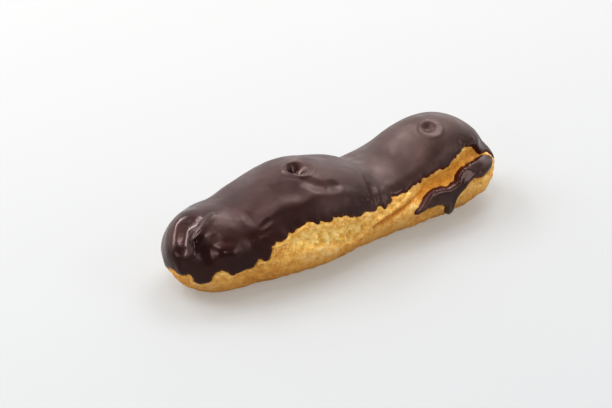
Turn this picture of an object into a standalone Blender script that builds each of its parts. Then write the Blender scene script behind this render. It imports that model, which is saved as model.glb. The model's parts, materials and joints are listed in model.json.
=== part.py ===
"""Chocolate eclair: a two-lobed choux bun under one poured coat of chocolate.

Metres, +Z up. +X runs along the bun to its rounder end, and -Y is the side
where the coat is broken. The origin is on the table, under the middle of the
eclair's box. The bun is a closed solid that stands on a flat foot. The coat is
a closed shell that follows it, with a thin gap between the two.
"""

from collections import namedtuple
from math import asin, cos, pi, radians, sin

import bmesh
import bpy
from mathutils import Vector
from mathutils.geometry import intersect_point_line

MM = 0.001

# Driving sizes of the bun, without its coat and its folds.
LENGTH = 151.0 * MM
SNOUT_RADIUS = 23.0 * MM      # how far the end at -X reaches beyond its last cross-section
ROUND_RADIUS = 29.5 * MM      # how far the end at +X reaches beyond the smaller lobe's top
SNOUT_X = SNOUT_RADIUS - LENGTH / 2
ROUND_X = LENGTH / 2 - ROUND_RADIUS
WAIST_LINE = 13.0 * MM        # height where each cross-section is widest
FOOT_CUT = 1.2 * MM           # how much of the round underside the flat foot cuts off
FOOT_POWER = 2.15             # superellipse power below the widest line

# The coat.
COAT_THICKNESS = 1.3 * MM
COAT_GAP = 0.3 * MM

# Mesh density.
SIDE_STEPS = 30
SNOUT_STEPS = 12
ROUND_STEPS = 13
FOOT_ROWS = 6
TONGUE_ROWS = 3
BREAK_ROWS = 3
DOME_ROWS = 12

# Cross-sections along X: x, half width and height of the top in mm, and the
# superellipse power of the dome, from 2 for round up to square.
SECTIONS = (
    (-52, 19.5, 30.2, 2.2),
    (-36, 23.5, 33.2, 2.1),
    (-18, 25.5, 37.3, 2.1),
    (1, 22.8, 33.2, 2.1),
    (15, 21.5, 27.2, 2.1),
    (29, 22.0, 28.8, 2.1),
    (46, 21.0, 38.1, 1.9),
)

# Lower edge of the coat in mm: run round the bun, height. The run is x on the
# -Y side, goes on round the end at +X, back along +Y and round the snout.
COAT_EDGE = (
    (-110, 12.5),
    (-96, 11.0),
    (-86, 11.5),
    (-79, 12.5),
    (-75, 11.0),
    (-66, 15.5),
    (-59, 13.5),
    (-50, 15.5),
    (-42, 20.5),
    (-30, 23.5),
    (-13, 24.5),
    (0, 21.5),
    (13, 19.5),
    (26, 21.0),
    (34, 24.0),
    (44, 26.0),
    (52, 26.0),
    (60, 29.5),
    (67, 29.5),
    (76, 24.0),
    (90, 20.5),
    (105, 17.5),
    (125, 14.0),
    (150, 16.5),
    (175, 13.5),
    (200, 16.0),
    (222, 12.5),
    (235, 12.5),
)

# The tongue of chocolate below the break: run, height in mm along its edges.
TONGUE_TOP = (
    (25, 14.5),
    (30, 16.5),
    (35, 19.8),
    (45, 18.5),
    (50, 22.0),
    (55, 23.8),
    (62, 24.2),
    (70, 23.3),
    (78, 21.5),
    (90, 18.0),
    (105, 16.0),
)
TONGUE_EDGE = (
    (25, 12.5),
    (36, 12.8),
    (40, 12.0),
    (42, 7.5),
    (47, 7.0),
    (49, 11.5),
    (54, 13.5),
    (61, 16.8),
    (68, 18.8),
    (76, 18.5),
    (90, 16.0),
    (105, 14.0),
)
TONGUE_TIP = 25.0 * MM        # run where the tongue ends
BREAK_END = 75.0 * MM         # run where the break closes and the tongue meets the coat
TONGUE_ROOT = 105.0 * MM      # run beyond which the coat has one plain lower edge

# Folds and dents in mm: points on the surface, reach to each side, depth. A
# negative depth is a raised fold.
BIG_LOBE_HOLE = (((-15, 0, 36),), 6.0, 3.0)
SMALL_LOBE_HOLE = (((46, -4, 37),), 6.0, 2.0)
BIG_LOBE_GROOVE = (((-40, -4, 32), (-26, -12, 33), (-14, -16, 33)), 5.0, 1.2)
WAIST_GROOVE = (((12, 12, 27), (10, 0, 28), (8, -10, 28), (6, -20, 23)), 5.0, 0.8)
SNOUT_FOLD = (((-62, -5, 30), (-68, -8, 27), (-71, -10, 23)), 4.0, -1.0)
SNOUT_HOLLOW = (((-67, 0, 28), (-71, -5, 26), (-73, -6, 22)), 4.0, 1.2)
SNOUT_DENT = (((-66, -13, 26), (-70, -13, 21)), 5.0, 1.4)
ROLL = (((62, -19, 13), (71, -12, 14), (76, 0, 14), (73, 11, 12)), 7.5, -2.4)
ROLL_NECK = (((58, -18, 25), (66, -14, 24), (71, -7, 24)), 6.0, 1.6)
TORN_CRUST = (((-33, -24, 19), (-19, -26, 17), (-5, -24, 17), (12, -22, 16)), 5.0, 1.4)
BREAK_VALLEY = (
    ((12, -22, 16), (24, -21, 18), (33, -19, 20), (42, -20, 22), (52, -18, 25), (60, -17, 26)),
    6.0,
    1.8,
)
FOLDS = (
    BIG_LOBE_HOLE,
    SMALL_LOBE_HOLE,
    BIG_LOBE_GROOVE,
    WAIST_GROOVE,
    SNOUT_FOLD,
    SNOUT_HOLLOW,
    SNOUT_DENT,
    ROLL,
    ROLL_NECK,
    TORN_CRUST,
    BREAK_VALLEY,
)

PASTRY_COLOUR = (0.62, 0.35, 0.11, 1.0)
CHOCOLATE_COLOUR = (0.035, 0.018, 0.013, 1.0)

# One column of points up the bun: x of its centre, its direction in plan, its
# reach from the centre, its top's height and dome power, and its run.
Column = namedtuple("Column", "x direction reach top power run")


def smooth_value(stations, place, item=1):
    """Value at a place on the smooth curve through stations; it is level at and past its ends."""
    if place <= stations[0][0]:
        return stations[0][item]
    if place >= stations[-1][0]:
        return stations[-1][item]
    after = next(i for i, station in enumerate(stations) if station[0] > place)
    before = after - 1
    span = stations[after][0] - stations[before][0]
    part = (place - stations[before][0]) / span
    start = stations[before][item]
    end = stations[after][item]
    start_slope = station_slope(stations, before, item) * span
    end_slope = station_slope(stations, after, item) * span
    bend = part * (1 - part) * ((1 - part) * start_slope - part * end_slope)
    ease = part * part * (3 - 2 * part)
    return start + (end - start) * ease + bend


def station_slope(stations, index, item):
    """Slope of the smooth curve at a station: level at the ends, else as between its neighbours."""
    if index in (0, len(stations) - 1):
        return 0.0
    before = stations[index - 1]
    after = stations[index + 1]
    return (after[item] - before[item]) / (after[0] - before[0])


def side_column(x, side):
    """Column of the side at x; side is -1 towards -Y and 1 towards +Y."""
    half_width, top, power = (smooth_value(SECTIONS, x / MM, item) for item in (1, 2, 3))
    run = x if side < 0 else ROUND_X + pi * ROUND_RADIUS + ROUND_X - x
    return Column(x, Vector((0.0, side, 0.0)), half_width * MM, top * MM, power, run)


def end_column(x, radius, angle, run):
    """Column of a rounded end, at an angle from +X in plan."""
    side = side_column(x, -1)
    reach = radius * cos(angle) ** 2 + side.reach * sin(angle) ** 2
    return Column(x, Vector((cos(angle), sin(angle), 0.0)), reach, side.top, side.power, run)


def bun_columns():
    """Columns once round the bun, from the snout's -Y corner."""
    side_places = [SNOUT_X + (ROUND_X - SNOUT_X) * i / SIDE_STEPS for i in range(SIDE_STEPS + 1)]
    columns = [side_column(x, -1) for x in side_places]
    for i in range(1, ROUND_STEPS):
        turn = pi * i / ROUND_STEPS
        columns.append(end_column(ROUND_X, ROUND_RADIUS, turn - pi / 2, ROUND_X + ROUND_RADIUS * turn))
    columns += [side_column(x, 1) for x in reversed(side_places)]
    for i in range(1, SNOUT_STEPS):
        turn = pi * i / SNOUT_STEPS
        run = SNOUT_X - SNOUT_RADIUS * (pi - turn)
        columns.append(end_column(SNOUT_X, SNOUT_RADIUS, turn + pi / 2, run))
    return columns


def row_angles(column):
    """Angles of a column's points, from the foot to the spine of the bun."""
    foot = height_angle(column, 0.0)
    coat_edge = edge_angle(column, COAT_EDGE)
    if TONGUE_TIP <= column.run <= TONGUE_ROOT:
        tongue_edge = edge_angle(column, TONGUE_EDGE)
        tongue_top = edge_angle(column, TONGUE_TOP)
    else:
        below = coat_edge - foot
        rows_below = FOOT_ROWS + TONGUE_ROWS + BREAK_ROWS
        tongue_edge = foot + below * FOOT_ROWS / rows_below
        tongue_top = foot + below * (FOOT_ROWS + TONGUE_ROWS) / rows_below
    knots = (foot, tongue_edge, tongue_top, coat_edge, pi / 2)
    angles = []
    for start, end, rows in zip(knots, knots[1:], (FOOT_ROWS, TONGUE_ROWS, BREAK_ROWS, DOME_ROWS)):
        angles += [start + (end - start) * i / rows for i in range(rows)]
    return angles + [pi / 2]


def edge_angle(column, edge):
    """Angle at which an edge of the coat crosses a column."""
    return height_angle(column, smooth_value(edge, column.run / MM) * MM)


def height_angle(column, height):
    """Angle of a column's point at a height: 0 at the widest line."""
    if height >= WAIST_LINE:
        return quarter_angle((height - WAIST_LINE) / (column.top - WAIST_LINE), column.power)
    return -quarter_angle((WAIST_LINE - height) / (WAIST_LINE + FOOT_CUT), FOOT_POWER)


def quarter_angle(share, power):
    """Angle at which a superellipse's quarter reaches this share of its height."""
    return asin(min(share, 1.0) ** (power / 2))


def section_point(column, angle):
    """Point of the plain bun on a column, at an angle of its cross-section."""
    power = column.power if angle >= 0 else FOOT_POWER
    rise = column.top - WAIST_LINE if angle >= 0 else -(WAIST_LINE + FOOT_CUT)
    out = column.reach * max(cos(angle), 0.0) ** (2 / power)
    height = WAIST_LINE + rise * abs(sin(angle)) ** (2 / power)
    return Vector((column.x, 0.0, height)) + column.direction * out


def fold_depth(point):
    """How far the folds and dents press the surface in at a point."""
    depth = 0.0
    for places, reach, deepest in FOLDS:
        distance = line_distance(point, [Vector(place) * MM for place in places])
        share = min(distance / (reach * MM), 1.0)
        depth += deepest * MM * (1 - share * share) ** 2
    return depth


def line_distance(point, places):
    """Distance from a point to the line through some places."""
    nearest = min((point - place).length for place in places)
    for start, end in zip(places, places[1:]):
        foot, share = intersect_point_line(point, start, end)
        if 0 < share < 1:
            nearest = min(nearest, (point - foot).length)
    return nearest


def is_coated(column, row):
    """Whether the coat covers the face that starts at this column and row."""
    if row >= FOOT_ROWS + TONGUE_ROWS + BREAK_ROWS:
        return True
    if row < FOOT_ROWS or not TONGUE_TIP <= column.run < TONGUE_ROOT:
        return False
    return row < FOOT_ROWS + TONGUE_ROWS or column.run > BREAK_END


def bun_mesh():
    """Bun as a bmesh whose coated faces have material index 1."""
    bun = bmesh.new()
    columns = bun_columns()
    rings = [[bun.verts.new(section_point(column, angle)) for angle in row_angles(column)]
             for column in columns]
    row_count = len(rings[0]) - 1
    for i, column in enumerate(columns):
        ring, following = rings[i], rings[(i + 1) % len(rings)]
        for row in range(row_count):
            face = bun.faces.new((ring[row], following[row], following[row + 1], ring[row + 1]))
            face.material_index = int(is_coated(column, row))
    bun.faces.new([ring[0] for ring in reversed(rings)])
    bmesh.ops.remove_doubles(bun, verts=bun.verts, dist=0.01 * MM)
    bmesh.ops.triangulate(bun, faces=bun.faces)
    bun.normal_update()
    moves = [(vert, vert.normal * fold_depth(vert.co)) for vert in bun.verts]
    for vert, move in moves:
        vert.co -= move
    bun.normal_update()
    return bun


def coat_mesh():
    """Inner sheet of the coat: the bun's coated faces, one gap outside it."""
    coat = bun_mesh()
    for vert in coat.verts:
        vert.co += vert.normal * COAT_GAP
    bare = [face for face in coat.faces if face.material_index == 0]
    bmesh.ops.delete(coat, geom=bare, context="FACES")
    return coat


def make_object(name, source, material):
    """Smooth object of one material, from a bmesh."""
    for face in source.faces:
        face.material_index = 0
    mesh = bpy.data.meshes.new(name)
    source.to_mesh(mesh)
    source.free()
    mesh.materials.append(material)
    mesh.shade_smooth()
    mesh.set_sharp_from_angle(angle=radians(50))
    piece = bpy.data.objects.new(name, mesh)
    bpy.context.scene.collection.objects.link(piece)
    return piece


def make_material(name, colour, roughness):
    """Plain food material."""
    material = bpy.data.materials.new(name)
    material.use_nodes = True
    shader = material.node_tree.nodes["Principled BSDF"]
    shader.inputs["Base Color"].default_value = colour
    shader.inputs["Roughness"].default_value = roughness
    shader.inputs["Metallic"].default_value = 0.0
    return material


def make_bun():
    """The baked choux bun."""
    return make_object("choux_pastry", bun_mesh(), make_material("baked_choux", PASTRY_COLOUR, 0.75))


def make_coat():
    """The poured chocolate, thickened outwards from its inner sheet."""
    coat = make_object("chocolate_coat", coat_mesh(), make_material("chocolate", CHOCOLATE_COLOUR, 0.3))
    shell = coat.modifiers.new("thickness", "SOLIDIFY")
    shell.thickness = COAT_THICKNESS
    shell.offset = 1.0
    return coat


def centre_box(pieces):
    """Shift the pieces in plan so that their common box is centred on the origin."""
    bpy.context.view_layer.update()
    graph = bpy.context.evaluated_depsgraph_get()
    points = [vert.co for piece in pieces for vert in piece.evaluated_get(graph).data.vertices]
    for axis in (0, 1):
        low = min(point[axis] for point in points)
        high = max(point[axis] for point in points)
        for piece in pieces:
            piece.location[axis] = -(low + high) / 2


def main():
    for old in list(bpy.data.objects):
        bpy.data.objects.remove(old, do_unlink=True)
    centre_box([make_bun(), make_coat()])


main()
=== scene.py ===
"""Looks of the chocolate eclair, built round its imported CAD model.

Two pieces replace the two CAD nodes. Both start from the same plain bun, which
repeats the CAD's cross-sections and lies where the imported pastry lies. The
pastry gets its crumb, its torn crust and the valley of the break. The icing is
a closed shell that follows the bun, with a rounded edge, and with folds, dents
and bubbles. Sizes are in millimetres until a mesh is made.
"""

import json
import math

import bpy
import numpy as np
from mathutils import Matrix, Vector, kdtree, noise

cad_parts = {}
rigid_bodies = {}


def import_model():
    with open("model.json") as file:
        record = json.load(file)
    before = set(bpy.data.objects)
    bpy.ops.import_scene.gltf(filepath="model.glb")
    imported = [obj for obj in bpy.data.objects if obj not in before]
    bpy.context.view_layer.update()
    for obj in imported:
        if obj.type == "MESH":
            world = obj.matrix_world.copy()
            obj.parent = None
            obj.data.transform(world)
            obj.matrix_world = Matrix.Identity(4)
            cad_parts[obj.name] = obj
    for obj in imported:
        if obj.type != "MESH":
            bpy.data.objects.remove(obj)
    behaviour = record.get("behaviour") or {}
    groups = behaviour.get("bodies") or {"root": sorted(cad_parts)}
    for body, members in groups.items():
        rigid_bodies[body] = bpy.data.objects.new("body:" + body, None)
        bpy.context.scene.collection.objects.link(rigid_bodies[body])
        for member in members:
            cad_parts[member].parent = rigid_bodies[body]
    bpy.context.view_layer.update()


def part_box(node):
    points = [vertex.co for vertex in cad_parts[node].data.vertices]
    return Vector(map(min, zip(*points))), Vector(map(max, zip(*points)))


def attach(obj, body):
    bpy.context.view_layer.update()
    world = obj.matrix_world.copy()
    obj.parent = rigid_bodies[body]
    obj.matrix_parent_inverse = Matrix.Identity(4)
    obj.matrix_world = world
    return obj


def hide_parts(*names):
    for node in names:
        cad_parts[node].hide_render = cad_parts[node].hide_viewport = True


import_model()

MM = 0.001

# ---------------------------------------------------------------- plain bun
SNOUT_X = -52.5               # where the two rounded ends begin, and how far they reach
SNOUT_RADIUS = 23.0
ROUND_X = 46.0
ROUND_RADIUS = 29.5
WIDEST = 13.0                 # height where each cross-section is widest
FOOT_CUT = 1.2                # what the flat foot cuts off the round underside
FOOT_POWER = 2.15             # superellipse power below the widest line
ARC_POINTS = 721              # points of a column before its rows are chosen

# Cross-sections: x, half width, height of the top, power of the dome.
SECTIONS = np.array((
    (-52, 19.5, 30.2, 2.2),
    (-36, 23.5, 33.2, 2.1),
    (-18, 25.5, 37.3, 2.1),
    (1, 22.8, 33.2, 2.1),
    (15, 21.5, 27.2, 2.1),
    (29, 22.0, 28.8, 2.1),
    (46, 21.0, 38.1, 1.9),
))

# ---------------------------------------------------------------- outlines of the icing
# Run round the bun and height. The run is x on the -Y side, goes on round the
# end at +X, back along +Y and round the snout.
COAT_EDGE = (
    (-124.7, 12.5), (-117, 12.0), (-110, 13.0), (-103, 10.5), (-97, 11.0), (-92, 10.8), (-88.4, 12.4),
    (-84.6, 12.4), (-81.5, 12.1), (-79.5, 13.2), (-78.0, 12.5), (-76.9, 10.8), (-74.8, 9.8),
    (-72.3, 10.5), (-70.3, 11.4), (-69.0, 14.0), (-66.7, 15.5), (-64.4, 15.6), (-62.5, 14.4),
    (-61.1, 13.0), (-58.7, 13.5), (-55.5, 14.2), (-51.6, 13.9), (-49.8, 15.2), (-47.6, 17.2),
    (-45.5, 15.2), (-43.6, 16.8), (-42.4, 20.6), (-40.6, 22.0), (-37.4, 22.1), (-35.6, 23.4), (-34.7, 24.8),
    (-33.3, 24.1), (-30.7, 24.9), (-28.7, 25.3), (-26.5, 26.4), (-24.3, 26.1), (-22.3, 25.0),
    (-20.8, 25.6), (-18.6, 24.6), (-16.5, 24.3), (-14.8, 25.0), (-12.5, 24.3), (-9.8, 24.0), (-7.5, 23.0),
    (-4.5, 21.9), (-1.5, 21.0), (1.3, 21.2), (4.3, 20.5), (7.3, 20.0), (9.2, 21.0), (10.6, 20.2),
    (11.8, 19.1), (14.6, 19.9), (16.3, 20.1), (16.9, 21.2), (19.9, 21.3), (22.5, 21.4), (24.3, 21.6),
    (25.5, 22.3), (29.3, 23.2), (34.7, 24.5), (39.8, 25.9), (44.5, 25.9), (46.6, 26.5), (50.1, 27.8),
    (56.7, 28.7), (63.8, 29.8), (68.8, 29.2), (73.6, 27.6), (77.0, 24.4), (79.4, 21.8), (81.6, 20.6),
    (82.8, 18.8), (82.6, 16.6), (83.6, 14.6), (87, 14.6), (94, 16.4), (103, 15.2), (112, 13.0), (121, 14.6),
    (130, 12.6), (141, 15.6), (152, 14.2), (161, 16.8), (171, 14.4), (180, 12.6), (190, 14.8),
    (200, 16.6), (211, 13.6), (222, 14.4), (230, 11.6), (237.1, 12.5),
)
TONGUE = (
    (25.4, 13.1), (26.3, 14.2), (28.4, 15.1), (30.5, 16.4), (32.3, 18.0), (34.9, 19.1), (39.3, 19.0),
    (43.0, 18.3), (46.3, 18.6), (48.4, 19.0), (49.7, 20.2), (51.8, 21.5), (56.0, 22.8), (61.9, 23.3),
    (68.4, 23.0), (72.3, 22.6), (76.0, 21.8), (78.2, 20.8), (79.2, 19.2), (77.8, 17.6), (73.3, 16.8),
    (68.1, 16.7), (64.3, 17.0), (59.3, 17.6), (56.0, 16.9), (53.4, 15.5), (49.6, 13.9), (47.3, 12.4),
    (46.6, 9.6), (46.4, 6.6), (45.0, 5.2), (42.9, 6.2), (42.0, 8.6), (40.8, 11.4), (37.3, 12.7),
    (34.3, 13.1), (30.9, 13.2), (28.3, 12.5), (26.0, 12.2),
)
CURVE_STEPS = 14              # points of a smooth outline between two of its places
COAT_RAG = ((1.3, 0.5), (2.9, 0.4))       # size and reach of an edge's unevenness
TONGUE_RAG = ((2.5, 0.25),)
COAT_SEED = 1.3
TONGUE_SEED = 4.7
FAR_ABOVE = 100.0             # height that closes the coat's outline, above the whole bun

# ---------------------------------------------------------------- folds
# Each fold is places, reach to each side, depth (negative is raised).
BROAD_FOLDS = (
    (((15, 15, 25), (13, 6, 27)), 6.0, 0.8),
    (((62, -19, 13), (71, -12, 14), (76, 0, 14), (73, 11, 12)), 7.5, -2.4),
    (((58, -18, 25), (66, -14, 24), (71, -7, 24)), 6.0, 1.6),
)
# Valley between the coat and the lower roll, the crack, and the torn crust.
VALLEY = ((30, -20, 19.5), (36, -20, 21.5), (46, -20, 22), (54, -18, 25), (62, -16, 26), (68, -13, 24))
VALLEY_DEPTH, VALLEY_REACH = 2.4, 6.5
CRACK = (
    (6, -22, 13.4), (12.3, -21.4, 14.2), (17, -21, 15.2),
    (21, -20.6, 16.4), (24, -20.6, 17.8), (30, -20, 19.5),
)
CRACK_DEPTH, CRACK_REACH = 2.6, 2.4
TEAR = ((-31, -24.5, 20.2), (-25, -25, 19.6), (-18.5, -25, 18.2), (-11, -25, 16.8), (-4, -23.5, 15.6))
TEAR_CORE, TEAR_REACH = 2.2, 4.6          # wholly torn up to the first, whole past the second

# Soft folds, dents and lumps of the icing.
SOFT_FOLDS = (
    (((-44, -11, 30.5), (-39, -9, 32.5), (-32, -7.5, 34), (-25, -11.5, 34.5)), 6.0, 0.8),
    (((-19, -10, 36), (-16.5, -12.6, 35), (-13, -14.6, 34), (-9, -14.4, 33.5)), 4.0, 0.8),
    (((-13, -15, 33.6),), 1.6, 0.7),
    (((-42, -12.5, 31), (-37.8, -13, 32), (-32, -14, 33), (-24, -16.4, 33.4), (-14, -17, 32.4),
      (-2, -18, 29.5)), 4.5, -0.55),
    (((9.2, -14, 27.4), (8.0, -17.4, 25.8), (6.8, -20, 23.4)), 2.6, 0.6),      # hollow at the waist
    (((-65, -1, 29), (-67.4, 0.1, 27), (-69.4, -2.2, 25.5), (-72.4, -5.1, 23.3)), 4.6, 1.1),
    (((-64.8, 7.5, 28.2), (-69, 7, 26.4), (-73, 2.8, 23.6), (-74.5, -0.3, 21.6)), 7.0, -1.2),
    (((-75.4, -0.9, 23), (-75.9, -3, 19.7), (-76, -5.3, 17.3), (-75.4, -7, 14.4)), 2.6, -0.9),
    (((-63, -12, 27), (-67, -11.2, 25.6), (-66, -14.5, 22.3)), 4.5, 0.45),    # right of the snout's ridge
    (((-62.5, -15.9, 22.4), (-59, -17.4, 22.4)), 5.0, -0.9),
    (((-44, -15.6, 27.6), (-40.5, -15.2, 28.8)), 2.0, 1.0),                  # wrinkle on the big lobe
    (((52.5, -15.4, 30.5),), 2.2, -0.6),                                     # lumps above the break
    (((55.5, -13.2, 33),), 2.6, -0.4),
    (((62, -12, 31.2),), 2.4, -0.8),
    (((65, -11.4, 29.4),), 1.8, -0.7),
    (((58.6, -12.6, 32),), 1.6, 0.5),
)
# Folds with a sharp crest.
SHARP_FOLDS = (
    (((-58, -3, 31.8), (-62, -4.3, 30.8), (-66.2, -5.7, 28.6), (-69, -6.4, 26.4)), 3.6, -2.3),
    (((-75.3, 2.8, 21.9), (-76.5, 0.4, 20), (-76.6, -1.8, 16.6)), 1.8, -0.5),
    (((-69, -6.4, 26.4), (-70.3, -8.6, 24.6), (-71.4, -10, 22.2)), 2.2, -1.5),
    (((-76.4, 1.5, 17.7), (-76.6, -0.6, 14.8)), 1.3, -0.6),
    (((-48, -17.2, 25.2), (-45.6, -17.2, 26), (-43, -17.4, 26.6)), 1.6, -0.9),
    (((8.3, -8.7, 30), (6.4, -13, 29.2), (5.4, -16.3, 27.6), (4.6, -19.3, 24.8)), 1.9, -0.8),
    (((10.8, -15.6, 25.4), (9.4, -18.4, 23.4), (8.6, -20.6, 21)), 2.0, -1.3),
    (((14.6, -15.4, 24.8), (14.2, -18.4, 22.8), (13.6, -20.4, 21)), 1.9, -1.3),
    (((20, -16.4, 24), (20, -18, 22.6)), 1.2, -0.5),
)
CREST_POWER = 1.7
# Burst bubbles: centre, radius, width of the wall, depth. Each has a low lip round it.
PITS = (
    ((-16.7, -2.0, 38.3), 5.5, 3.4, 1.6),
    ((-18.0, -1.2, 36.8), 4.4, 3.4, 2.2),
    ((45.2, -4.8, 37.6), 4.8, 4.2, 0.9),
    ((44.8, -4.2, 37.2), 3.0, 2.6, 0.8),
    ((45.0, -3.6, 36.4), 1.1, 1.0, 0.4),
)
LIP_SHARE = 0.12              # height of the lip for each millimetre of depth
LIP_GAP, LIP_REACH = 0.3, 1.0
# Small whole bubbles: centre, radius, height.
BUBBLES = (
    ((-69.5, -15.4, 15.6), 1.7, 0.8),
    ((-69.5, -13.0, 20.6), 1.2, 0.5),
    ((-72.9, -9.2, 20.6), 1.2, 0.5),
    ((-73.8, -5.6, 21.8), 1.0, 0.5),
    ((-13.8, -4.4, 35.6), 0.9, 0.3),
    ((-12.9, -3.2, 35.8), 0.7, 0.25),
    ((-56.6, -19.3, 21.7), 0.6, 0.25),
    ((-54.0, -21.0, 18.0), 0.6, 0.25),
)


# ---------------------------------------------------------------- curves
def smooth_curve(stations, places, item=1):
    """Smooth curve through stations, sampled at places; it is level at and past its ends."""
    at, value = stations[:, 0], stations[:, item]
    slope = np.zeros(len(at))
    slope[1:-1] = (value[2:] - value[:-2]) / (at[2:] - at[:-2])
    before = np.clip(np.searchsorted(at, places, side="right") - 1, 0, len(at) - 2)
    span = at[before + 1] - at[before]
    part = np.clip((places - at[before]) / span, 0.0, 1.0)
    ease = part * part * (3 - 2 * part)
    bend = part * (1 - part) * ((1 - part) * slope[before] - part * slope[before + 1]) * span
    return value[before] + (value[before + 1] - value[before]) * ease + bend


def spline(places, closed):
    """Points along the Catmull-Rom curve through some places."""
    places = np.array(places, float)
    if closed:
        before, start, end, after = (np.roll(places, shift, axis=0) for shift in (1, 0, -1, -2))
    else:
        padded = np.concatenate((places[:1], places, places[-1:]))
        before, start, end, after = padded[:-3], padded[1:-2], padded[2:-1], padded[3:]
    t = np.linspace(0, 1, CURVE_STEPS, endpoint=False)[:, None, None]
    curve = start + 0.5 * t * (end - before + t * (2 * before - 5 * start + 4 * end - after)
                               + t * t * (3 * start - before - 3 * end + after))
    return curve.transpose(1, 0, 2).reshape(-1, 2)


def ramp(values, low, high):
    """Smooth step from 0 at low to 1 at high."""
    part = np.clip((values - low) / (high - low), 0.0, 1.0)
    return part * part * (3 - 2 * part)


def bump(values, width):
    """Smooth hump: 1 at 0, and 0 beyond the width."""
    part = np.clip(values / width, -1.0, 1.0)
    return (1 - part * part) ** 2


def crest(values, width):
    """Hump with a sharp top: 1 at 0, and 0 beyond the width."""
    part = np.clip(np.abs(values) / width, 0.0, 1.0)
    return (1 - part) ** CREST_POWER


def line_distance(points, places):
    """Distance from points to the line through some places."""
    places = np.array(places, float).reshape(-1, 3)
    nearest = np.linalg.norm(points - places[0], axis=1)
    for start, end in zip(places, places[1:]):
        along = end - start
        part = np.clip((points - start) @ along / (along @ along), 0.0, 1.0)
        gap = points - (start + part[:, None] * along)
        nearest = np.minimum(nearest, np.linalg.norm(gap, axis=1))
    return nearest


def rough(points, size, seed, octaves=1):
    """Noise from about -1 to 1 whose lumps are about size wide."""
    places = ((points + seed * 37.0) / size).tolist()
    if octaves == 1:
        return np.array([noise.noise(place) for place in places])
    return np.array([noise.fractal(place, 0.7, 2.0, octaves) for place in places])


# ---------------------------------------------------------------- the bun's skin
def bun_columns(side_steps):
    """Columns once round the bun by run: x, direction in plan, reach, top, power, run."""
    step = (ROUND_X - SNOUT_X) / side_steps
    side = SNOUT_X + step * np.arange(side_steps + 1)
    snout_steps = 2 * round(math.pi * SNOUT_RADIUS / step / 2)
    round_steps = 2 * round(math.pi * ROUND_RADIUS / step / 2)
    snout_turn = math.pi * np.arange(1, snout_steps) / snout_steps
    round_turn = math.pi * np.arange(1, round_steps) / round_steps
    x = np.concatenate((
        np.full(len(snout_turn), SNOUT_X),
        side,
        np.full(len(round_turn), ROUND_X),
        side[::-1],
    ))
    angle = np.concatenate((
        math.pi / 2 + snout_turn,
        np.full(len(side), -math.pi / 2),
        round_turn - math.pi / 2,
        np.full(len(side), math.pi / 2),
    ))
    run = np.concatenate((
        SNOUT_X - SNOUT_RADIUS * (math.pi - snout_turn),
        side,
        ROUND_X + ROUND_RADIUS * round_turn,
        2 * ROUND_X + math.pi * ROUND_RADIUS - side[::-1],
    ))
    width, top, power = (smooth_curve(SECTIONS, x, item) for item in (1, 2, 3))
    radius = np.where(x < 0, SNOUT_RADIUS, ROUND_RADIUS)
    reach = radius * np.cos(angle) ** 2 + width * np.sin(angle) ** 2
    return np.stack([x, np.cos(angle), np.sin(angle), reach, top, power, run], axis=1)


def column_points(column, row_shares):
    """Points up a column. Shares 0, 1 and 2 are the foot's middle, its edge and the spine."""
    x, cosine, sine, reach, top, power, _ = column
    angle = np.linspace(-math.pi / 2, math.pi / 2, ARC_POINTS)
    shape = 2 / np.where(angle > 0, power, FOOT_POWER)
    out = reach * np.cos(angle).clip(0) ** shape
    lift = np.abs(np.sin(angle)) ** shape * np.where(angle > 0, top - WIDEST, -(WIDEST + FOOT_CUT))
    height = (WIDEST + lift).clip(0)
    length = np.concatenate(([0.0], np.hypot(np.diff(out), np.diff(height)).cumsum()))
    foot_edge = length[np.argmax(height > 0)]
    wanted = np.interp(row_shares, (0.0, 1.0, 2.0), (0.0, foot_edge, length[-1]))
    out = np.interp(wanted, length, out)
    return np.stack([x + cosine * out, sine * out, np.interp(wanted, length, height)], axis=-1)


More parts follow.
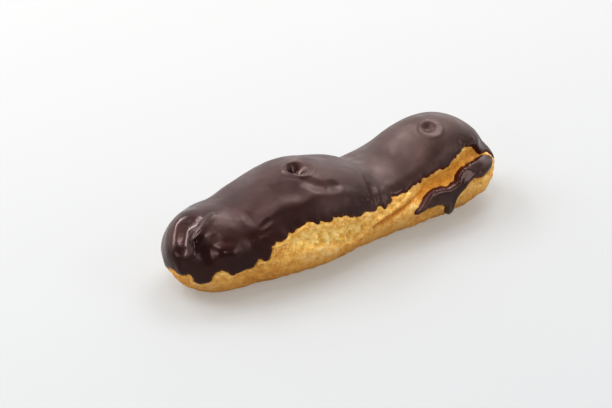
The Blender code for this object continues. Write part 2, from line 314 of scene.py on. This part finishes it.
class Skin:
    """The plain bun's surface as a grid of columns and rows whose shared points are welded."""

    def __init__(self, side_steps, row_shares):
        columns = bun_columns(side_steps)
        grid = np.array([column_points(column, row_shares) for column in columns])
        flat = np.round(grid.reshape(-1, 3), 4) + 0.0     # adding 0.0 makes -0.0 equal to 0.0
        _, first, ids = np.unique(flat, axis=0, return_index=True, return_inverse=True)
        self.columns_run = columns[:, 6]
        self.points = flat[first]
        self.ids = ids.reshape(grid.shape[:2])
        self.run = np.repeat(self.columns_run, len(row_shares))[first]
        beside = np.roll(self.ids, -1, axis=0)
        corners = (self.ids[:, :-1], beside[:, :-1], beside[:, 1:], self.ids[:, 1:])
        self.quads = np.stack(corners, axis=-1).reshape(-1, 4)

    def normals(self, points):
        """Unit normals at the points, out of the bun."""
        a, b, c, d = (points[self.quads[:, i]] for i in range(4))
        across = np.cross(c - a, d - b)
        total = np.stack([
            sum(np.bincount(self.quads[:, i], across[:, axis], len(points)) for i in range(4))
            for axis in range(3)
        ], axis=1)
        return total / np.linalg.norm(total, axis=1, keepdims=True)

    def smoothed(self, values, rounds):
        """Values evened out over the surface; each round averages with the neighbours."""
        pairs = np.concatenate([self.quads[:, (i, (i + 1) % 4)] for i in range(4)])
        pairs = pairs[pairs[:, 0] != pairs[:, 1]]
        count = np.bincount(pairs.ravel(), minlength=len(values))[:, None]
        values = values.reshape(len(values), -1)
        for _ in range(rounds):
            near = np.stack([
                np.bincount(pairs[:, 0], column[pairs[:, 1]], len(values))
                + np.bincount(pairs[:, 1], column[pairs[:, 0]], len(values))
                for column in values.T
            ], axis=1)
            values = (values + near / count) / 2
        return values.squeeze()

    def place(self, run, height):
        """Points of the surface at a run and a height."""
        column = np.interp(run, self.columns_run, np.arange(len(self.columns_run)))
        left = np.floor(column).astype(int)
        right = np.minimum(left + 1, len(self.columns_run) - 1)
        part = (column - left)[:, None]
        return (1 - part) * self.on_columns(left, height) + part * self.on_columns(right, height)

    def on_columns(self, chosen, height):
        """Points of chosen columns at a height."""
        lines = self.points[self.ids[chosen]]
        row = np.clip((lines[..., 2] < height[:, None]).sum(axis=1), 1, lines.shape[1] - 1)
        each = np.arange(len(chosen))
        below, above = lines[each, row - 1], lines[each, row]
        rise = np.maximum(above[:, 2] - below[:, 2], 1e-6)
        part = np.clip((height - below[:, 2]) / rise, 0.0, 1.0)
        return below + part[:, None] * (above - below)


# ---------------------------------------------------------------- where the icing lies
def ragged(outline, layers, seed):
    """Outline whose points wander a little; each layer is the size and reach of the wander."""
    moved = outline.copy()
    for size, reach in layers:
        for axis in (0, 1):
            shift = seed + 10.0 * axis
            wander = [noise.noise((run / size, height / size, shift)) for run, height in outline]
            moved[:, axis] += reach * np.array(wander)
    return moved


def make_outlines():
    """Closed outlines of the coat and of the tongue, in run and height."""
    coat = ragged(spline(COAT_EDGE, closed=False), COAT_RAG, COAT_SEED)
    coat = np.concatenate((
        [(coat[0, 0] - 1, FAR_ABOVE), (coat[0, 0] - 1, coat[0, 1])],
        coat,
        [(coat[-1, 0] + 1, coat[-1, 1]), (coat[-1, 0] + 1, FAR_ABOVE)],
    ))
    tongue = ragged(spline(TONGUE, closed=True), TONGUE_RAG, TONGUE_SEED)
    return coat, tongue


def inside(outline, run, height):
    """Whether points lie inside a closed outline."""
    crossings = np.zeros(len(run), int)
    for (start, low), (end, high) in zip(outline, np.roll(outline, -1, axis=0)):
        crosses = (low > height) != (high > height)
        if crosses.any():
            crossings += crosses & (run < start + (height - low) * (end - start) / (high - low))
    return crossings % 2 == 1


def icing_depth(skin, outlines):
    """How far each point lies inside the icing's edge, negative outside, and which are on the tongue."""
    run, height = skin.run, skin.points[:, 2]
    coat, tongue = outlines
    in_coat, in_tongue = inside(coat, run, height), inside(tongue, run, height)
    coat_line = coat[2:-2]
    coat_line = coat_line[~inside(tongue, *coat_line.T)]
    tongue_line = tongue[~inside(coat, *tongue.T)]
    edge = skin.place(*np.concatenate((coat_line, tongue_line)).T)
    tree = kdtree.KDTree(len(edge))
    for i, place in enumerate(edge):
        tree.insert(place, i)
    tree.balance()
    gap = np.array([tree.find(place)[2] for place in skin.points])
    return np.where(in_coat | in_tongue, gap, -gap), in_tongue & ~in_coat


# ---------------------------------------------------------------- relief
EVENING_ROUNDS = 40           # how often the plain bun is evened out
LUMP_HEIGHT, LUMP_SIZE = 0.3, 17.0
LUMP_SEED = 1
LUMPS_FROM = (2.0, 8.0)       # heights between which the lumps come in
RELIEF_FROM = (0.0, 1.5)      # how far inside the icing's edge its relief comes in


def pressed(points, folds, profile):
    """How far some folds press the surface in."""
    return sum(depth * profile(line_distance(points, places), reach) for places, reach, depth in folds)


def folded(skin):
    """Points of the plain bun with its broad folds, which both pieces follow."""
    points = skin.smoothed(skin.points, EVENING_ROUNDS)
    points[skin.points[:, 2] == 0.0, 2] = 0.0
    lumps = LUMP_HEIGHT * rough(points, LUMP_SIZE, LUMP_SEED) * ramp(points[:, 2], *LUMPS_FROM)
    return points + skin.normals(points) * (lumps - pressed(points, BROAD_FOLDS, bump))[:, None]


def creases(points):
    """How far the valley of the break and the crack lie below the bun's plain surface."""
    valley = VALLEY_DEPTH * bump(line_distance(points, VALLEY), VALLEY_REACH)
    crack = CRACK_DEPTH * crest(line_distance(points, CRACK), CRACK_REACH)
    return np.maximum(valley, crack)


def tear(points):
    """1 inside the torn pocket of the crust, 0 outside it."""
    return 1 - ramp(line_distance(points, TEAR), TEAR_CORE, TEAR_REACH)


def icing_relief(points):
    """How far the icing's own folds, dents and bubbles lift its surface."""
    lift = -pressed(points, SOFT_FOLDS, bump) - pressed(points, SHARP_FOLDS, crest)
    for centre, radius, wall, depth in PITS:
        gap = np.linalg.norm(points - centre, axis=1)
        lift -= depth * (1 - ramp(gap, radius - wall, radius))
        lift += LIP_SHARE * depth * bump(gap - radius - LIP_GAP, LIP_REACH)
    for centre, radius, height in BUBBLES:
        lift += height * bump(np.linalg.norm(points - centre, axis=1), radius)
    return lift


# ---------------------------------------------------------------- meshes
def packed_place():
    """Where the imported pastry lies, seen from the bun's own place."""
    low, high = (np.array(corner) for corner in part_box("choux_pastry"))
    tip = (SNOUT_X - SNOUT_RADIUS) * MM
    return np.array((low[0] - tip, (low[1] + high[1]) / 2, 0.0))


PACKED_PLACE = packed_place()


def add_to_scene(name, data):
    """Object of some data, linked to the scene."""
    item = bpy.data.objects.new(name, data)
    bpy.context.scene.collection.objects.link(item)
    return item


def make_mesh(name, points, quads, material):
    """Smooth mesh object of closed quads; a quad with a doubled corner becomes a triangle."""
    doubled = (quads == np.roll(quads, 1, axis=1)).any(axis=1)
    faces = quads[~doubled].tolist()
    faces += [list(dict.fromkeys(quad)) for quad in quads[doubled].tolist()]
    mesh = bpy.data.meshes.new(name)
    mesh.from_pydata((points * MM + PACKED_PLACE).tolist(), [], faces)
    mesh.shade_smooth()
    mesh.materials.append(material)
    return add_to_scene(name, mesh)


def add_field(piece, name, values):
    """Store one number for each point, for the material to read."""
    field = piece.data.attributes.new(name, "FLOAT", "POINT")
    field.data.foreach_set("value", np.asarray(values, np.float32))


def layered(points, layers):
    """Sum of some layers of noise, each a height, a size and a seed."""
    return sum(height * rough(points, size, seed) for height, size, seed in layers)


# Columns along a side, and rows up the foot, the side and the dome.
PASTRY_STEPS = 245
FOOT_ROWS, SIDE_ROWS, DOME_ROWS = 8, 88, 13
DOME_START = 1.72             # share of a column where the dome's wider rows begin, under the icing
CRUMB = ((0.25, 1.3, 3), (0.40, 2.8, 4), (0.45, 7.0, 5))
TEAR_DEPTH = 1.6
STRAND_HEIGHT, STRAND_SIZE = 1.9, 2.4     # moist strands in the torn pocket
STRAND_SEED, STRAND_OCTAVES = 6, 2
EDGE_LIP = 0.5                # crust swollen just outside the icing's edge, how far out, and its reach
EDGE_LIP_OUT, EDGE_LIP_REACH = 1.0, 1.4
CRACK_LIP = 0.8               # crust that overhangs the crack, how far above it, and its reach
CRACK_LIP_RISE = (0, 0, 2.0)
CRACK_LIP_REACH = 2.2
BARE_FROM = (-1.0, 0.3)       # how far outside the icing's edge the crumb comes in, and the creases
SUNK_FROM = (-2.5, 0.0)
CRUMB_FROM = (0.5, 4.0)       # heights between which the crumb comes in
UNDER_ICING = 0.2             # how much lower the crust lies where icing covers it


def make_pastry(material):
    """The baked choux bun."""
    foot = np.linspace(0, 1, FOOT_ROWS, endpoint=False)
    side = np.linspace(1, DOME_START, SIDE_ROWS, endpoint=False)
    dome = np.linspace(DOME_START, 2, DOME_ROWS)
    skin = Skin(PASTRY_STEPS, np.concatenate((foot, side, dome)))
    plain = folded(skin)
    depth, _ = icing_depth(skin, make_outlines())
    bare = ramp(-depth, *BARE_FROM)
    above = ramp(plain[:, 2], *CRUMB_FROM)
    sunk_and_shade = creases(plain) * ramp(-depth, *SUNK_FROM)
    torn = tear(plain)
    strands = STRAND_HEIGHT * rough(plain, STRAND_SIZE, STRAND_SEED, STRAND_OCTAVES)
    strands = (strands - TEAR_DEPTH) * torn
    lip = EDGE_LIP * bump(depth + EDGE_LIP_OUT, EDGE_LIP_REACH)
    above_crack = line_distance(plain, np.array(CRACK) + CRACK_LIP_RISE)
    overhang = CRACK_LIP * bump(above_crack, CRACK_LIP_REACH)
    lift = (layered(plain, CRUMB) + strands + lip + overhang) * bare * above - sunk_and_shade
    lift += (np.minimum(icing_relief(plain), 0.0) - UNDER_ICING) * ramp(depth, *RELIEF_FROM)
    points = plain + skin.normals(plain) * lift[:, None]
    points[:, 2] = points[:, 2].clip(0)
    piece = make_mesh("choux_bun", points, skin.quads, material)
    # How deep the creases sink, stored for the crust's painted shade.
    add_field(piece, "sunk_and_shade", np.clip(sunk_and_shade / VALLEY_DEPTH, 0, 1))
    add_field(piece, "torn", torn)
    return piece


ICING_STEPS = 192
ICING_ROWS = 112
EDGE_THICK = 1.0              # thickness of the coat along its edge, inside it, and of the tongue
COAT_THICK = 1.5
TONGUE_THICK = 2.1
FULL_INSIDE = 5.0             # how far inside the edge the coat has its full thickness
EDGE_ROUND = 1.1              # width over which the icing's edge rounds down to the crust
TUCK = 0.9                    # how far the icing's edge is tucked in past its outline
LINING = 0.25                 # how far the icing's inner face lies below the crust
LEAST_THICK = 0.4
TONGUE_SINK = 0.75            # share of the valley's depth that the tongue follows
SINK_FROM = (0.0, 0.5)        # how far inside the icing's edge that comes in
TONGUE_ROUNDS = 6             # how often the tongue's limit to the coat is evened out
LEAST_DIVE = 1.0              # how deep the tucked edge goes below plain crust
THIN_REACH = 1.3              # width of the thin, reddish chocolate along the edge
WAVES = ((0.24, 9.0, 8), (0.06, 3.5, 9))


def make_icing(material):
    """The poured coat of chocolate, one closed shell."""
    skin = Skin(ICING_STEPS, np.concatenate(([0.0], np.linspace(1, 2, ICING_ROWS))))
    plain = folded(skin)
    depth, is_tongue = icing_depth(skin, make_outlines())
    tongue = skin.smoothed(is_tongue.astype(float), TONGUE_ROUNDS)
    relief = icing_relief(plain) + layered(plain, WAVES)
    inward = ramp(depth, 0.0, FULL_INSIDE)
    thick = EDGE_THICK + (COAT_THICK - EDGE_THICK) * inward
    thick += (TONGUE_THICK - EDGE_THICK) * tongue * (1 - inward)
    share = np.clip(depth / EDGE_ROUND, 0, 1)
    top = thick * np.sqrt(1 - (1 - share) ** 2)
    follow = TONGUE_SINK * creases(plain) * tongue
    dive = np.clip(-depth / TUCK, 0, 1) * (creases(plain) + tear(plain) + LEAST_DIVE)
    lift = top - dive - follow * ramp(depth, *SINK_FROM) + relief * ramp(depth, *RELIEF_FROM)
    outer = plain + skin.normals(plain) * lift[:, None]
    inner_lift = np.minimum(-LINING, lift - LEAST_THICK)
    inner = plain + skin.normals(plain) * inner_lift[:, None]
    kept = (depth[skin.quads] > -TUCK).any(axis=1)
    points, quads, used = shell(outer, inner, skin.quads[kept])
    piece = make_mesh("chocolate_icing", points, quads, material)
    wet = np.clip(glossiness(plain) + tongue, 0, 1)[used]
    add_field(piece, "wet", np.concatenate((wet, wet)))
    thin = 1 - ramp(depth[used], 0.0, THIN_REACH)
    add_field(piece, "thin", np.concatenate((thin, thin)))
    return piece


# Glossy stretches of the icing, each places and reach: the waist's pleats, the edge
# above the break, and the wrinkle over the big lobe's edge.
GLOSSY = (
    (((2, -20, 25), (20, -19, 23)), 6.0),
    (((50, -17, 30), (62, -14, 31), (69, -10, 27)), 5.0),
    (((-50, -17, 24.8), (-43, -17.4, 26.6)), 5.0),
)
GLOSSY_PITS = PITS[:2]
GLOSSY_SNOUT = (-64.0, -50.0)             # wholly glossy before the first x, satin past the second


def glossiness(points):
    """1 or more where the icing set wet and glossy, 0 where it set satin."""
    stretches = sum(bump(line_distance(points, places), reach) for places, reach in GLOSSY)
    pits = sum(bump(line_distance(points, centre), radius) for centre, radius, _, _ in GLOSSY_PITS)
    return 1 - ramp(points[:, 0], *GLOSSY_SNOUT) + stretches + pits


def shell(outer, inner, quads):
    """Closed shell of the chosen quads, with a wall round their rim; and the points used."""
    used, flat = np.unique(quads, return_inverse=True)
    quads = flat.reshape(-1, 4)
    count = len(used)
    starts = quads.ravel()
    ends = np.roll(quads, -1, axis=1).ravel()
    real = starts != ends
    pairs = np.stack([starts[real], ends[real]], axis=1)
    known = set(map(tuple, pairs.tolist()))
    rim = np.array([pair for pair in known if pair[::-1] not in known])
    wall = np.stack([rim[:, 1], rim[:, 0], rim[:, 0] + count, rim[:, 1] + count], axis=1)
    points = np.concatenate((outer[used], inner[used]))
    return points, np.concatenate((quads, quads[:, ::-1] + count, wall)), used


# ---------------------------------------------------------------- materials
class Nodes:
    """A material's node tree, with a short way to add linked nodes."""

    def __init__(self, name):
        self.material = bpy.data.materials.new(name)
        self.material.use_nodes = True
        self.tree = self.material.node_tree
        self.shader = self.tree.nodes["Principled BSDF"]

    def add(self, kind, settings=None, **inputs):
        """New node. An input is a value or another node's output."""
        node = self.tree.nodes.new(kind)
        for name, value in (settings or {}).items():
            setattr(node, name, value)
        for name, value in inputs.items():
            self.set(node.inputs[name.replace("_", " ")], value)
        return node

    def set(self, socket, value):
        """Link an output to a socket, or set the socket's value."""
        if isinstance(value, bpy.types.NodeSocket):
            self.tree.links.new(value, socket)
        else:
            socket.default_value = value

    def place(self):
        """The surface's own coordinates, in metres."""
        return self.add("ShaderNodeTexCoord").outputs["Object"]

    def noise(self, size_mm, detail=2.0, roughness=0.55):
        """Noise value from 0 to 1 with lumps about this wide."""
        scale = 1 / (size_mm * MM)
        texture = self.add("ShaderNodeTexNoise", Vector=self.place(), Scale=scale, Detail=detail)
        self.set(texture.inputs["Roughness"], roughness)
        return texture.outputs[0]

    def field(self, name):
        """A number stored on the mesh."""
        return self.add("ShaderNodeAttribute", {"attribute_name": name}).outputs["Fac"]

    def axis(self, name):
        """The surface's own X, Y or Z, in metres."""
        return self.add("ShaderNodeSeparateXYZ", Vector=self.place()).outputs[name]

    def towards(self, vector, direction):
        """How far a vector reaches in a fixed direction."""
        node = self.add("ShaderNodeVectorMath", {"operation": "DOT_PRODUCT"})
        self.set(node.inputs[0], vector)
        self.set(node.inputs[1], direction)
        return node.outputs["Value"]

    def math(self, operation, first, second):
        """Sum, product or the like of two values."""
        node = self.tree.nodes.new("ShaderNodeMath")
        node.operation = operation
        self.set(node.inputs[0], first)
        self.set(node.inputs[1], second)
        return node.outputs[0]

    def range(self, value, low, high, to_low=0.0, to_high=1.0):
        """Value carried from one range to another, held at its ends."""
        names = ("Value", "From Min", "From Max", "To Min", "To Max")
        node = self.tree.nodes.new("ShaderNodeMapRange")
        for name, item in zip(names, (value, low, high, to_low, to_high)):
            self.set(node.inputs[name], item)
        return node.outputs[0]

    def mix(self, share, first, second, most=1.0):
        """Mix of two colours. The share of the second goes up to the most."""
        node = self.tree.nodes.new("ShaderNodeMix")
        node.data_type = "RGBA"
        self.set(node.inputs[0], share if most == 1.0 else self.math("MULTIPLY", share, most))
        self.set(node.inputs[6], first)
        self.set(node.inputs[7], second)
        return node.outputs[2]

    def ramp(self, value, stops):
        """Colour ramp of places and colours."""
        node = self.add("ShaderNodeValToRGB", Fac=value)
        elements = node.color_ramp.elements
        while len(elements) < len(stops):
            elements.new(0.5)
        for element, (place, colour) in zip(elements, stops):
            element.position = place
            element.color = colour
        return node.outputs[0]

    def bump(self, height, distance_mm, strength=1.0, below=None):
        """Normal roughened by a height; it goes over another normal if one is given."""
        node = self.add("ShaderNodeBump", Height=height, Distance=distance_mm * MM, Strength=strength)
        if below is not None:
            self.set(node.inputs["Normal"], below)
        return node.outputs[0]


# Colours of the crust, each a stop of its mottling, and what tints it. Some tints are painted light: a
# painted highlight on the crumb's tops, and painted shade in its hollows and creases.
CRUST_TONES = (
    (0.34, (0.51, 0.230, 0.034, 1)),
    (0.46, (0.70, 0.385, 0.085, 1)),
    (0.56, (0.83, 0.525, 0.165, 1)),
    (0.68, (0.94, 0.720, 0.370, 1)),
)
# Paler crumb tops are a painted highlight, and darker crumb hollows are painted shade, on the same noise as
# the crumb's bump.
CRUMB_TOP_HIGHLIGHT = (0.93, 0.74, 0.44, 1)
CRUMB_HOLLOW_SHADE = (0.42, 0.18, 0.03, 1)
# Darker, oranger tones in the valley and the crack: painted shade.
CREASE_SHADE_TONES = ((0.56, 0.21, 0.016, 1), (0.76, 0.35, 0.034, 1))
TORN_TONES = ((0.95, 0.63, 0.17, 1), (0.99, 0.80, 0.38, 1))
LOW_TONE = (0.46, 0.20, 0.028, 1)
# Darker towards the foot, in the lowest 3 mm.
DARK_FOOT = (0.25, 0.10, 0.025, 1)
LOW_FROM, LOW_AT = 17 * MM, 3 * MM        # heights where the low tone begins, and where it is full
CRUST_SCATTER = (1.0, 0.5, 0.2)           # how far red, green and blue light scatter in it


def crust_colour(nodes, mottle, crumb):
    """Golden crust with painted shade, darker and oranger, in its creases and crumb hollows, and a painted
    highlight on its crumb tops; oranger low down, pale where it is torn, brown at its foot.
    """
    broad = nodes.noise(16.0, 3.0)
    tone = nodes.math("ADD", nodes.math("MULTIPLY", broad, 0.45), nodes.math("MULTIPLY", mottle, 0.55))
    crust = nodes.ramp(tone, CRUST_TONES)
    # Painted highlight on the crumb's raised tops.
    crust = nodes.mix(nodes.range(crumb, 0.54, 0.68), crust, CRUMB_TOP_HIGHLIGHT, most=0.6)
    # Painted shade in the crumb's hollows.
    crust = nodes.mix(nodes.range(crumb, 0.42, 0.30), crust, CRUMB_HOLLOW_SHADE, most=0.5)
    # Painted shade in the valley and the crack, by how deep they sink.
    crust = nodes.mix(nodes.field("sunk_and_shade"), crust, nodes.mix(mottle, *CREASE_SHADE_TONES), most=0.75)
    torn = nodes.mix(nodes.range(mottle, 0.4, 0.6), *TORN_TONES)
    crust = nodes.mix(nodes.field("torn"), crust, torn, most=0.7)
    height = nodes.axis("Z")
    crust = nodes.mix(nodes.range(height, LOW_FROM, LOW_AT), crust, LOW_TONE, most=0.85)
    return nodes.mix(nodes.range(height, LOW_AT, 0.0), crust, DARK_FOOT, most=0.7)


def pastry_material():
    """Baked choux: dry and crumbly, moist where it is torn."""
    nodes = Nodes("baked_choux")
    mottle = nodes.noise(2.6, 3.0)
    crumb = nodes.noise(0.8, 2.0, 0.7)
    nodes.set(nodes.shader.inputs["Base Color"], crust_colour(nodes, mottle, crumb))
    dry = nodes.range(mottle, 0.35, 0.65, 0.5, 0.72)
    moist = nodes.math("MULTIPLY", nodes.field("torn"), -0.34)
    nodes.set(nodes.shader.inputs["Roughness"], nodes.math("ADD", dry, moist))
    nodes.shader.inputs["Specular IOR Level"].default_value = 0.4
    nodes.shader.inputs["Subsurface Weight"].default_value = 0.08
    nodes.shader.inputs["Subsurface Radius"].default_value = CRUST_SCATTER
    nodes.shader.inputs["Subsurface Scale"].default_value = 1.5 * MM
    coarse = nodes.bump(mottle, 0.9, 0.55)
    nodes.set(nodes.shader.inputs["Normal"], nodes.bump(crumb, 0.45, 0.8, coarse))
    return nodes.material


# Two tones of the chocolate towards the snout, which is left darker, and two lighter, greyer ones towards
# the rounder end that are partly painted light falling on that side and partly a duller bloom; and its
# reddish thin edge.
SNOUT_TONES = ((0.016, 0.0050, 0.0034, 1), (0.040, 0.0135, 0.0100, 1))
LIT_BLOOM_TONES = ((0.036, 0.0190, 0.0150, 1), (0.068, 0.0400, 0.0340, 1))
THIN_TONE = (0.085, 0.020, 0.014, 1)
SHEEN_TINT = (1.0, 0.76, 0.74, 1)         # slightly red highlights
LIT_BLOOM_FROM, LIT_BLOOM_AT = -30 * MM, 12 * MM    # x where the lighter chocolate, partly painted light, begins, and where it is full


def icing_material():
    """Set dark chocolate: satin on the lobes, glossy where it ran."""
    nodes = Nodes("dark_chocolate")
    cloudy = nodes.range(nodes.noise(20.0, 3.0), 0.35, 0.65)
    # Lighter towards the rounder end: partly painted light from that side, partly a duller bloom.
    lit_bloom = nodes.range(nodes.axis("X"), LIT_BLOOM_FROM, LIT_BLOOM_AT)
    colour = nodes.mix(lit_bloom, nodes.mix(cloudy, *SNOUT_TONES), nodes.mix(cloudy, *LIT_BLOOM_TONES))
    colour = nodes.mix(nodes.field("thin"), colour, THIN_TONE, most=0.8)
    nodes.set(nodes.shader.inputs["Base Color"], colour)
    satin = nodes.range(nodes.noise(9.0, 4.0), 0.35, 0.65, 0.32, 0.48)
    gloss = nodes.math("MULTIPLY", nodes.field("wet"), -0.19)
    nodes.set(nodes.shader.inputs["Roughness"], nodes.math("ADD", satin, gloss))
    nodes.shader.inputs["Specular IOR Level"].default_value = 0.55
    nodes.shader.inputs["Specular Tint"].default_value = SHEEN_TINT
    soft = nodes.bump(nodes.noise(5.0, 2.0), 0.5, 0.25)
    nodes.set(nodes.shader.inputs["Normal"], nodes.bump(nodes.noise(1.4, 2.0), 0.12, 0.3, soft))
    return nodes.material


BRIGHT_SIDE = (0.132, 0.885, 0.45)        # towards the studio's windows, behind the eclair
TABLE_COLOUR = (0.222, 0.237, 0.256, 1)
TABLE_GLOW = (1, 0.915, 0.81, 1)
GLOW_PLACES = (-0.45, 0.35)               # metres towards the windows between which the glow grows
GLOW_STRENGTHS = (0.165, 0.335)


def table_material():
    """White table, with a faint warm glow that grows towards the windows and softens the shadows."""
    nodes = Nodes("white_table")
    nodes.shader.inputs["Base Color"].default_value = TABLE_COLOUR
    glow = nodes.range(nodes.towards(nodes.place(), BRIGHT_SIDE), *GLOW_PLACES, *GLOW_STRENGTHS)
    nodes.set(nodes.shader.inputs["Emission Strength"], glow)
    nodes.shader.inputs["Emission Color"].default_value = TABLE_GLOW
    nodes.shader.inputs["Roughness"].default_value = 0.7
    nodes.shader.inputs["Specular IOR Level"].default_value = 0.15
    return nodes.material


# ---------------------------------------------------------------- stage
# The stage is in metres, its angles are in degrees and the lens is in millimetres.
AZIMUTH = -35.0
ELEVATION = 31.0
DISTANCE = 0.918
LENS = 135.0
BUN_MIDDLE = (0, 0.0007, 0.017)           # from the middle of the bun's foot
VIEW_RIGHT = -0.0096                      # how far the camera's aim lies from it, seen by the camera
VIEW_UP = -0.0018

TABLE_HALF = 3.0                          # half a side of the table
# Soft lamps, which stand for the studio's windows: name, place, size, power.
LAMP_AIM = (0, 0, 0.02)
LAMPS = (
    ("back_pane", (-0.35, 1.25, 1.2), (0.45, 0.35), 5.0),
    ("left_pane", (-0.9, 0.75, 1.2), (0.8, 0.7), 9.0),
    ("top_pane", (-0.39, -0.14, 1.45), (0.3, 0.3), 2.0),
    ("front_pane", (-1.18, -0.46, 0.63), (0.45, 0.45), 2.2),
    ("right_pane", (0.85, -1.1, 0.8), (0.9, 0.6), 4.0),
    ("far_right_pane", (0.75, 0.45, 1.25), (0.8, 0.6), 6.5),
    ("small_lamp", (-0.15, -1.15, 1.0), (0.1, 0.1), 0.4),
)
WINDOW_LIGHT = 1.22                       # the world's light from the windows, and from elsewhere
ROOM_LIGHT = 0.26
TABLE_LIGHT = 0.60                        # what the white table's far parts throw in, low down
STUDIO_WHITE = (0.99, 0.995, 1.0, 1)


def face_back(item, back):
    """Turn a camera or a light so that its back points along a direction."""
    item.rotation_mode = "QUATERNION"
    item.rotation_quaternion = back.to_track_quat("Z", "Y")


def make_table(material):
    """Large flat table, part of the stage only."""
    mesh = bpy.data.meshes.new("table")
    corners = [(-1, -1), (1, -1), (1, 1), (-1, 1)]
    mesh.from_pydata([(x * TABLE_HALF, y * TABLE_HALF, 0) for x, y in corners], [], [(0, 1, 2, 3)])
    mesh.materials.append(material)
    add_to_scene("table", mesh)


def make_camera():
    """Camera that looks down on the eclair from its broken side."""
    azimuth, elevation = math.radians(AZIMUTH), math.radians(ELEVATION)
    level = math.cos(elevation)
    back = Vector((math.sin(azimuth) * level, -math.cos(azimuth) * level, math.sin(elevation)))
    right = Vector((math.cos(azimuth), math.sin(azimuth), 0))
    up = back.cross(right)
    target = Vector(PACKED_PLACE) + Vector(BUN_MIDDLE) + right * VIEW_RIGHT + up * VIEW_UP
    data = bpy.data.cameras.new("camera")
    data.lens = LENS
    camera = add_to_scene("camera", data)
    camera.location = target + back * DISTANCE
    face_back(camera, back)
    bpy.context.scene.camera = camera


def make_lamp(name, place, size, power):
    """Soft rectangular lamp that is aimed at the eclair."""
    data = bpy.data.lights.new(name, "AREA")
    data.shape = "RECTANGLE"
    data.size, data.size_y = size
    data.energy = power
    lamp = add_to_scene(name, data)
    lamp.location = place
    face_back(lamp, Vector(place) - Vector(LAMP_AIM))


class WorldNodes(Nodes):
    """The world's node tree, with the same helpers as a material's."""

    def __init__(self, name):
        self.world = bpy.data.worlds.new(name)
        self.world.use_nodes = True
        self.tree = self.world.node_tree
        self.shader = self.tree.nodes["Background"]


def make_world():
    """Studio: bright at the back, dark above the camera, light again near the table."""
    nodes = WorldNodes("studio")
    direction = nodes.add("ShaderNodeTexCoord").outputs["Generated"]
    window = nodes.range(nodes.towards(direction, BRIGHT_SIDE), 0.0, 0.48, ROOM_LIGHT, WINDOW_LIGHT)
    up = nodes.add("ShaderNodeSeparateXYZ", Vector=direction).outputs["Z"]
    table = nodes.range(up, 0.28, 0.05, 0.0, TABLE_LIGHT)
    nodes.set(nodes.shader.inputs["Strength"], nodes.math("MAXIMUM", window, table))
    nodes.shader.inputs["Color"].default_value = STUDIO_WHITE
    bpy.context.scene.world = nodes.world


def set_view():
    """Plain view with the contrast of a studio photo."""
    view = bpy.context.scene.view_settings
    view.view_transform = "Standard"
    view.look = "High Contrast"


pastry = make_pastry(pastry_material())
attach(pastry, "root")
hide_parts("choux_pastry")

icing = make_icing(icing_material())
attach(icing, "root")
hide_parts("chocolate_coat")

make_table(table_material())
for lamp in LAMPS:
    make_lamp(*lamp)
make_camera()
make_world()
set_view()
